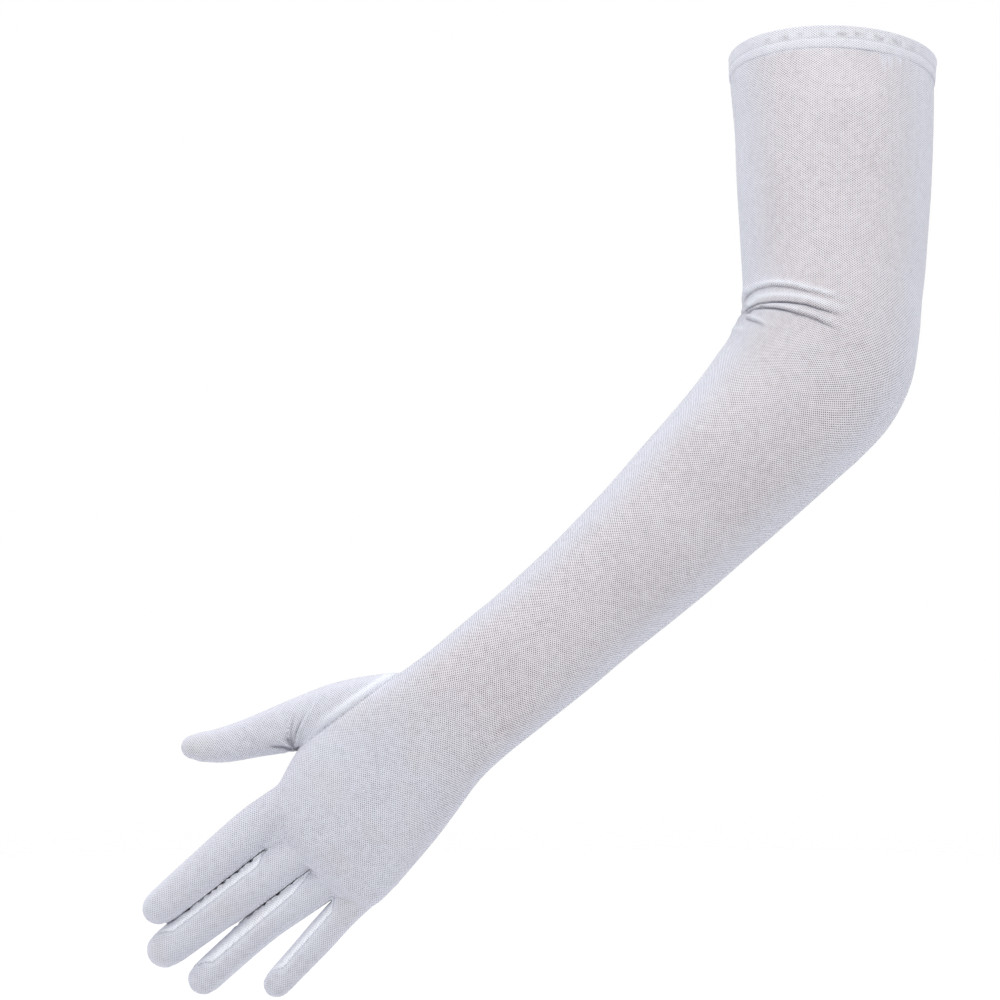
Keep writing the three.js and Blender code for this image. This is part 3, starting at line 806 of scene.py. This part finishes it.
def mapCloth(piece, kind):
    mesh = piece.data
    points = readArray(mesh.vertices, "co", 3).astype(float) / mm
    corner = readArray(mesh.loops, "vertex_index", 1, np.int32)
    start = readArray(mesh.polygons, "loop_start", 1, np.int32)
    total = readArray(mesh.polygons, "loop_total", 1, np.int32)
    down = downHand(points[:, 0], points[:, 2])
    uv = np.stack([points[:, 1], down], 1)[corner]
    centres = np.add.reduceat(points[corner], start) / total[:, None]
    form = np.full(len(start), {"strip": -2, "thumb": 4}.get(kind, -1))
    if kind == "trank":
        x, z = centres[:, 0], centres[:, 2]
        offsets = np.abs([acrossFinger(x, z, table) for table in fingerTables.values()])
        form = np.where(downHand(x, z) > hand["rootsAt"], offsets.argmin(0), -1)
    tables = [*fingerTables.values(), thumbTable]
    fromMiddle = points[:, [0, 2]] - clothMap["handMiddle"]
    flatX, flatZ = fromMiddle @ hand["across"], fromMiddle @ hand["heading"]
    toHand = smoothStep(*clothMap["toHand"], down) * (kind == "trank")
    flat = smoothStep(*clothMap["toFlat"], down) * (1 - smoothStep(*clothMap["toRound"], down))
    bulge = 1 - flat * (kind == "trank")
    shifts = {}
    for number in sorted(set(form.tolist()) - {-2}):
        chosen = np.repeat(form == number, total)
        used, inverse = np.unique(corner[chosen], return_inverse=True)
        sections = sleeveSections(clothMap["sleevePerRow"])
        if number >= 0:
            sections = fingerSections(tables[number], clothMap["fingerPerRow"])
        lie = measureOn(points[used], sections)
        counts = total[form == number]
        firsts = np.cumsum(counts) - counts
        palm = np.repeat(np.add.reduceat(lie["back"][inverse], firsts) < 0, counts)
        rounds = {False: lie["arc"], True: np.sign(lie["arc"]) * (lie["half"] - np.abs(lie["arc"]))}
        for side in (False, True):
            if number < 0:
                zone = np.abs(down[used] - clothMap["matchAt"]) < clothMap["matchReach"]
                zone &= (lie["back"] < -clothMap["facing"]) == side
                zone &= np.abs(lie["back"]) > clothMap["facing"]
                shifts[side] = [float(np.mean((lie[mine] - onHand[used])[zone])) if zone.any() else 0.0
                                for mine, onHand in (("chord", flatX), ("along", flatZ))]
            shift = shifts.get(side, [0, 0])
            across = lie["chord"] + toHand[used] * (flatX[used] + shift[0] - lie["chord"])
            across += (rounds[side] - lie["chord"]) * bulge[used]
            along = lie["along"] + toHand[used] * (flatZ[used] + shift[1] - lie["along"])
            both = np.stack([across, along], 1)[inverse]
            uv[np.flatnonzero(chosen)[palm == side]] = both[palm == side]
    layer = mesh.uv_layers.new(name="clothMap")
    layer.uv.foreach_set("vector", (uv / clothMap["unit"]).astype(np.float32).ravel())


mapCloth(trank, "trank")
mapCloth(thumb, "thumb")
for piece in stripPieces:
    mapCloth(piece, "strip")
print("cloth mapped")


# Doubled hem at the cuff. Its outline runs round the band: how far below the edge and how far outside the
# glove's own line each ring of it lies.
hemBand = {
    "height": 10.35, "sides": 288,
    "outline": [
        (0.3, -0.95), (0.0, -0.5), (-0.05, 0.0), (0.25, 0.25), (0.9, 0.32), (2.2, 0.3), (3.6, 0.28),
        (5.0, 0.28), (6.2, 0.32), (6.85, 0.28), (7.15, 0.1), (7.4, 0.08), (7.65, 0.22), (8.1, 0.36),
        (8.9, 0.4), (9.8, 0.36), (10.3, 0.2), (10.5, -0.1), (10.45, -0.6), (10.0, -0.95), (7.0, -1.0),
        (3.5, -1.0),
    ],
    "puckers": 32, "puckerHeight": 0.1, "puckerAbove": 0.4, "puckerFrom": (4.5, 8.5), "puckerDrift": 3,
    "wobble": 0.25, "wobbleSize": 2.2,
}


def makeHemBand():
    outline, sides = hemBand["outline"], hemBand["sides"]
    bm = bmesh.new()
    bmesh.ops.create_grid(bm, x_segments=sides, y_segments=len(outline), size=1)
    places = np.clip(np.array([down for down, _ in outline]) / hemBand["height"], 0, 2)
    rows = readTable(sleeveTable, places)
    edge = sectionsOf(readTable(sleeveTable, [0, 1, 2]))
    across, back = edge["across"][0], edge["back"][0]
    size, above = hemBand["wobbleSize"], hemBand["puckerAbove"]
    for vert in bm.verts:
        angle = (vert.co.x + 1) * math.pi
        k = round((vert.co.y + 1) / 2 * len(outline)) % len(outline)
        down, out = outline[k]
        drift = noise.noise(Vector((math.cos(angle) * size, math.sin(angle) * size, 3.0)))
        wave = 0.5 + 0.5 * math.cos(hemBand["puckers"] * angle + hemBand["puckerDrift"] * drift)
        lower = float(smoothStep(*hemBand["puckerFrom"], down))
        share = above + (1 - above) * lower
        out += hemBand["puckerHeight"] * wave * share + hemBand["wobble"] * drift
        centre = np.array([rows["x"][k], rows["y"][k], rows["z"][k]])
        vert.co = (centre + across * math.cos(angle) * (rows["width"][k] / 2 + out)
                   + back * math.sin(angle) * (rows["depth"][k] / 2 + out)) * mm
    bmesh.ops.remove_doubles(bm, verts=bm.verts, dist=1e-6)
    bmesh.ops.recalc_face_normals(bm, faces=bm.faces)
    return objectFrom("hem_band_cloth", bm)


band = makeHemBand()
mapCloth(band, "band")
print("hem band made:", len(band.data.polygons), "faces")


# Seam threads that hold the thumb and the strips in, with a stitch over them every few millimetres
thread = {"radius": 0.17, "spacing": 0.9, "smoothing": 3, "stitchEvery": 1.9, "stitch": (0.34, 0.15, 0.2)}


# Evenly spaced points on a closed line, at least a few of them
def evenLine(points, spacing, fewest=8):
    for _ in range(thread["smoothing"]):
        points = (np.roll(points, 1, 0) + 2 * points + np.roll(points, -1, 0)) / 4
    closed = np.concatenate([points, points[:1]])
    run = runOf(closed)
    places = np.arange(0, run[-1], run[-1] / max(int(run[-1] / spacing), fewest))
    return np.stack([np.interp(places, run, closed[:, axis]) for axis in range(3)], 1)


def makeSeam(name, lines):
    curve = bpy.data.curves.new(name, "CURVE")
    curve.dimensions = "3D"
    curve.bevel_depth = thread["radius"] * mm
    curve.bevel_resolution = 1
    for line in lines:
        even = evenLine(line, thread["spacing"] * mm)
        spline = curve.splines.new("POLY")
        spline.points.add(len(even) - 1)
        spline.points.foreach_set("co", np.c_[even, np.ones(len(even))].ravel())
        spline.use_cyclic_u = True
    drawn = newObject(name + "_line", curve)
    bm = bmesh.new()
    bm.from_mesh(finishedMesh(drawn))
    bpy.data.objects.remove(drawn)
    size = [length * mm for length in thread["stitch"]]
    for line in lines:
        even = evenLine(line, thread["stitchEvery"] * mm)
        ahead = np.roll(even, -1, 0) - np.roll(even, 1, 0)
        for point, heading in zip(even, ahead):
            place = Vector(heading).to_track_quat("Y", "Z").to_matrix().to_4x4()
            place.translation = point
            made = bmesh.ops.create_icosphere(bm, subdivisions=1, radius=1)["verts"]
            bmesh.ops.scale(bm, verts=made, vec=size)
            bmesh.ops.transform(bm, verts=made, matrix=place)
    return objectFrom(name, bm)


seamPieces = {owner: makeSeam("seam_" + pieceNames[owner], lines) for owner, lines in seamPoints.items()}
print("seams sewn:", {piece.name: len(piece.data.polygons) for piece in seamPieces.values()})


# Gives the sockets of a node their values or links
def feed(made, inputs):
    for name, value in inputs.items():
        if isinstance(value, Wire):
            made.id_data.links.new(value.socket, made.inputs[name])
        else:
            made.inputs[name].default_value = value


# Shader maths: an output socket that takes part in Python expressions
class Wire:
    def __init__(self, socket):
        self.socket = socket
        self.tree = socket.id_data

    def node(self, kind, settings=None, inputs=None, output=0):
        made = self.tree.nodes.new(kind)
        for name, value in (settings or {}).items():
            setattr(made, name, value)
        feed(made, inputs or {})
        return Wire(made.outputs[output])

    def maths(self, operation, *values):
        return self.node("ShaderNodeMath", {"operation": operation}, dict(enumerate((self, *values))))

    def __add__(self, other):
        return self.maths("ADD", other)

    def __sub__(self, other):
        return self.maths("SUBTRACT", other)

    def __mul__(self, other):
        return self.maths("MULTIPLY", other)

    def __rsub__(self, other):
        return self.node("ShaderNodeMath", {"operation": "SUBTRACT"}, {0: other, 1: self})

    __radd__ = __add__
    __rmul__ = __mul__

    def ramp(self, low, high):
        return self.node("ShaderNodeMapRange", {"interpolation_type": "SMOOTHSTEP"},
                         {"Value": self, "From Min": low, "From Max": high})

    def noise(self, scale, detail=2.0):
        return self.node("ShaderNodeTexNoise", {}, {"Vector": self, "Scale": scale, "Detail": detail})

    def clamped(self):
        return self.maths("MAXIMUM", 0.0).maths("MINIMUM", 1.0)

    def mixed(self, *colours):
        first, second = (colour if isinstance(colour, Wire) else (*colour, 1) for colour in colours)
        return self.node("ShaderNodeMix", {"data_type": "RGBA"}, {"Factor": self, 6: first, 7: second}, 2)


# A new material with its shader and its Object coordinates, the wire that its other nodes start from
def startMaterial(name):
    material = bpy.data.materials.new(name)
    material.use_nodes = True
    shader = material.node_tree.nodes["Principled BSDF"]
    return material, shader, Wire(shader.outputs["BSDF"]).node("ShaderNodeTexCoord", output="Object")


# Net of the tulle: diamonds with their long way across the glove, in millimetres, and how far their lines
# wander. Then how clear a hole is and how much painted shade it gets, the colours and how much each shows,
# its surface. The cloth's own colours are colour, loose and warm; deep is painted shade in the holes, with a
# warm tint; crest is a painted highlight on fold crests; edgeSheen is a painted sheen at a grazing look;
# facing is the paler doubled cloth; shadow is painted shade in creases, along seams and in the gaps between
# fingers.
tulle = {
    "across": 1.52, "along": 1.08, "wander": 0.22, "thread": 0.52, "threadChange": 0.3, "edge": 0.34,
    "clear": 0.62, "clearDoubled": 0.2, "clearLoose": 0.45, "shadeBunched": 0.6, "shadeLoose": 0.5,
    "broad": 0.25, "mottle": 0.3,
    "colour": (0.67, 0.65, 0.69), "deep": (0.19, 0.135, 0.155), "loose": (0.60, 0.617, 0.685),
    "warm": (0.61, 0.58, 0.59), "crest": (0.77, 0.795, 0.86), "edgeSheen": (0.615, 0.622, 0.70),
    "facing": (0.78, 0.805, 0.87), "shadow": (0.055, 0.055, 0.085),
    "warmPatches": (0.5, 0.72), "warmShare": 0.3, "edgeFrom": (0.12, 0.62), "facingShare": 0.6,
    "crestShare": 0.8, "creaseFrom": (0.2, 0.75), "creaseShare": (0.3, 0.55), "darkest": 0.92,
    "threadTop": 0.8, "bump": 0.16 * mm, "bumpStrength": 0.8, "roughness": 0.75, "specular": 0.3,
    "sheen": 0.6, "sheenRoughness": 0.4, "sheenTint": (0.93, 0.95, 1.0),
}
# How fine the cloth's slow changes are
grain = {"across": 240.0, "along": 190.0, "thread": 330.0, "mottle": 420.0, "broad": 26.0, "warm": 34.0,
         "crease": 90.0, "waves": 60.0, "gaps": 45.0}
# Row of grey patches along the hem
hemPatches = {"at": 4.4, "width": (0.2, 1.7), "every": 9.1, "drift": 3, "length": (0.15, 0.8),
              "gaps": (0.3, 0.52), "shade": 0.55, "mottle": 1.6}


# How strongly a patch of the hem shows at each place of the cloth's map
def patchesOn(across, along, where):
    unit = clothMap["unit"]
    strip = 1 - (along * unit - hemPatches["at"]).maths("ABSOLUTE").ramp(*hemPatches["width"])
    turn = across * (unit * 2 * math.pi / hemPatches["every"])
    waves = (turn + (where.noise(grain["waves"]) - 0.5) * hemPatches["drift"]).maths("COSINE") * 0.5 + 0.5
    return strip * waves.ramp(*hemPatches["length"]) * where.noise(grain["gaps"]).ramp(*hemPatches["gaps"])


def tulleMaterial(name, settings, patches=False):
    material, shader, where = startMaterial(name)
    mapped = where.node("ShaderNodeUVMap", {"uv_map": "clothMap"}, output="UV")
    across, along = (mapped.node("ShaderNodeSeparateXYZ", {}, {0: mapped}, axis) for axis in (0, 1))
    doubled, fold, gapShade, loose = (where.node("ShaderNodeAttribute", {"attribute_name": mark}, output="Fac")
                                  for mark in clothMarks)
    grazing = where.node("ShaderNodeLayerWeight", output="Facing").ramp(*settings["edgeFrom"])
    unit = clothMap["unit"]
    drift = (where.noise(grain["across"]) - 0.5) * (settings["wander"] / unit)
    shift = (where.noise(grain["along"], 1.0) - 0.5) * (settings["wander"] / unit)
    u, v = (across + drift) * (unit / settings["across"]), (along + shift) * (unit / settings["along"])
    farA, farB = (lines.maths("PINGPONG", 0.5) * 2 for lines in (u + v, u - v))
    nearest = farA.maths("MINIMUM", farB)
    thickness = settings["thread"] + (where.noise(grain["thread"]) - 0.5) * settings["threadChange"]
    hole = (nearest - thickness).ramp(-0.5 * settings["edge"], 0.5 * settings["edge"])
    bunched = doubled.maths("MAXIMUM", fold.maths("ABSOLUTE")).maths("MINIMUM", 1.0)
    clear = (1 - bunched) * (settings["clear"] - settings["clearDoubled"]) + settings["clearDoubled"]
    clear = clear * (1 - loose * settings["clearLoose"])
    mottle = where.noise(grain["mottle"], 1.0) - 0.5
    # painted shade in the holes, less where the cloth is doubled, folded or loose, with the cloth's random
    # tone added; it mixes the colour towards deep
    shade = hole * (1 - bunched * settings["shadeBunched"]) * (1 - loose * settings["shadeLoose"])
    shade = shade + (where.noise(grain["broad"]) - 0.5) * settings["broad"] + mottle * settings["mottle"]
    shade = shade.clamped()
    if patches:
        grey = mottle * hemPatches["mottle"] + hemPatches["shade"]
        shade = (shade + patchesOn(across, along, where) * grey).clamped()
    colour = loose.mixed(settings["colour"], settings["loose"])
    warm = where.noise(grain["warm"], 1.0).ramp(*settings["warmPatches"]) * settings["warmShare"]
    colour = shade.mixed(warm.mixed(colour, settings["warm"]), settings["deep"])
    # painted sheen: paler at a grazing look
    colour = grazing.mixed(colour, settings["edgeSheen"])
    colour = (doubled * settings["facingShare"]).mixed(colour, settings["facing"])
    # painted highlight along fold crests
    colour = (fold.maths("MAXIMUM", 0.0) * settings["crestShare"]).mixed(colour, settings["crest"])
    # painted shade in creases, along seams and in the gaps between fingers, towards the shadow colour
    least, more = settings["creaseShare"]
    creaseShade = fold * (where.noise(grain["crease"]).ramp(*settings["creaseFrom"]) * -more - least)
    dark = creaseShade.maths("MAXIMUM", gapShade * settings["darkest"]).maths("MINIMUM", settings["darkest"])
    height = 1 - nearest.ramp(0.0, settings["threadTop"])
    bump = mapped.node("ShaderNodeBump", {}, {"Height": height, "Distance": settings["bump"],
                                              "Strength": settings["bumpStrength"]})
    feed(shader, {
        "Base Color": dark.mixed(colour, settings["shadow"]), "Alpha": 1 - hole * clear, "Normal": bump,
        "Roughness": settings["roughness"], "Specular IOR Level": settings["specular"],
        "Sheen Weight": settings["sheen"], "Sheen Roughness": settings["sheenRoughness"],
        "Sheen Tint": (*settings["sheenTint"], 1),
    })
    return material


clothNet = tulleMaterial("whiteTulle", tulle)
hemNet = tulleMaterial("doubledTulle", {**tulle, "clear": 0.35, "clearDoubled": 0.35, "thread": 0.55,
                                        "colour": (0.68, 0.69, 0.745), "deep": (0.42, 0.40, 0.44),
                                        "mottle": 0.7}, patches=True)
# The strips' colours are paler than the rest of the cloth: painted light, for the light they catch between
# the fingers; their net is also finer and less clear.
stripNet = tulleMaterial("stripTulle", {**tulle, "clear": 0.2, "thread": 0.58, "across": 1.2, "along": 1.0,
                                        "colour": (0.81, 0.825, 0.88), "deep": (0.48, 0.49, 0.55)})

# Sewing thread: its colours run from a dark grey, painted shade that draws the dark line of the seams, to
# about the cloth's own pale, mixed along a fine twist noise
threadLook = {"colours": ((0.46, 0.47, 0.53), (0.66, 0.67, 0.74)), "twist": 900.0, "change": (0.35, 0.7),
              "bump": 0.08 * mm, "bumpStrength": 0.6, "roughness": 0.6, "sheen": 0.2}


def threadMaterial():
    material, shader, where = startMaterial("sewingThread")
    twist = where.noise(threadLook["twist"], 1.0)
    bump = where.node("ShaderNodeBump", {}, {"Height": twist, "Distance": threadLook["bump"],
                                             "Strength": threadLook["bumpStrength"]})
    colour = twist.ramp(*threadLook["change"]).mixed(*threadLook["colours"])
    feed(shader, {"Base Color": colour, "Normal": bump, "Roughness": threadLook["roughness"],
                  "Sheen Weight": threadLook["sheen"]})
    return material


sewing = threadMaterial()
for piece, material in [(trank, clothNet), (thumb, clothNet), (band, hemNet),
                        *((piece, stripNet) for piece in stripPieces),
                        *((piece, sewing) for piece in seamPieces.values())]:
    piece.data.materials.append(material)
print("materials woven")


# Walls of the cloth, the body that the pieces hang on, the frame's parts that they stand in for hidden, and
# the worn area of each cloth piece in square metres
for piece in [trank, thumb, *stripPieces]:
    addModifier(piece, "SOLIDIFY", thickness=cloth["wall"], offset=-1)
for piece in [trank, thumb, band, *stripPieces, *seamPieces.values()]:
    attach(piece, "root")
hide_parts("trank")
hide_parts("thumb")
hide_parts("hem_band")
for name, piece in zip(pieceNames[2:], stripPieces):
    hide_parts(name)


def clothArea(piece):
    return sum(face.area for face in piece.data.polygons)


worn = {piece.name: round(clothArea(piece), 5) for piece in [trank, thumb, band, *stripPieces]}
print("worn areas:", worn)


# The picture's camera is level and square to the glove
camera = {"distance": 1.7, "widthSeen": 0.465, "sensor": 36.0, "x": -0.1546, "z": -0.2037}

studio = {
    "room": (1.0, 1.0, 1.0), "roomStrength": 1.0,
    "lamps": [
        {"at": (-0.2, -1.1, 1.5), "size": 1.2, "power": 15.5, "colour": (1.0, 0.99, 0.98)},
        {"at": (-0.2, 0.2, 1.6), "size": 1.2, "power": 10.5, "colour": (0.96, 0.98, 1.0)},
    ],
}

floor = {"radius": 1.5, "sides": 96, "below": 0.035, "clear": (0.5, 1.4), "colour": (0.78, 0.78, 0.79),
         "roughness": 0.9}


def makeFloor():
    bm = bmesh.new()
    bmesh.ops.create_circle(bm, cap_ends=True, segments=floor["sides"], radius=floor["radius"])
    bmesh.ops.translate(bm, verts=bm.verts, vec=(camera["x"], 0, cadLow[2] - floor["below"]))
    ground = objectFrom("paleFloor", bm)
    material, shader, where = startMaterial("paleFloor")
    centred = where.node("ShaderNodeMapping", {}, {"Vector": where, "Location": (-camera["x"], 0, 0)})
    flat = where.node("ShaderNodeVectorMath", {"operation": "MULTIPLY"}, {0: centred, 1: (1, 1, 0)})
    far = where.node("ShaderNodeVectorMath", {"operation": "LENGTH"}, {0: flat}, "Value")
    feed(shader, {"Alpha": 1 - far.ramp(*floor["clear"]), "Base Color": (*floor["colour"], 1),
                  "Roughness": floor["roughness"]})
    ground.data.materials.append(material)


def buildStudio():
    scene = bpy.context.scene
    lens = bpy.data.cameras.new("pictureCamera")
    lens.sensor_width = camera["sensor"]
    lens.lens = camera["sensor"] * camera["distance"] / camera["widthSeen"]
    holder = newObject("pictureCamera", lens)
    holder.location = (camera["x"], -camera["distance"], camera["z"])
    holder.rotation_euler = (math.radians(90), 0, 0)
    scene.camera = holder
    scene.view_settings.view_transform = "Standard"
    world = bpy.data.worlds.new("studioRoom")
    world.use_nodes = True
    background = world.node_tree.nodes["Background"]
    background.inputs["Color"].default_value = (*studio["room"], 1)
    background.inputs["Strength"].default_value = studio["roomStrength"]
    scene.world = world
    for k, lamp in enumerate(studio["lamps"]):
        data = bpy.data.lights.new(f"softLamp{k}", "AREA")
        data.size, data.energy, data.color = lamp["size"], lamp["power"], lamp["colour"]
        lampObject = newObject(f"softLamp{k}", data)
        lampObject.location = lamp["at"]
        aim = Vector((camera["x"], 0, camera["z"])) - Vector(lamp["at"])
        lampObject.rotation_euler = aim.to_track_quat("-Z", "Y").to_euler()
    print("studio lit")


makeFloor()
buildStudio()
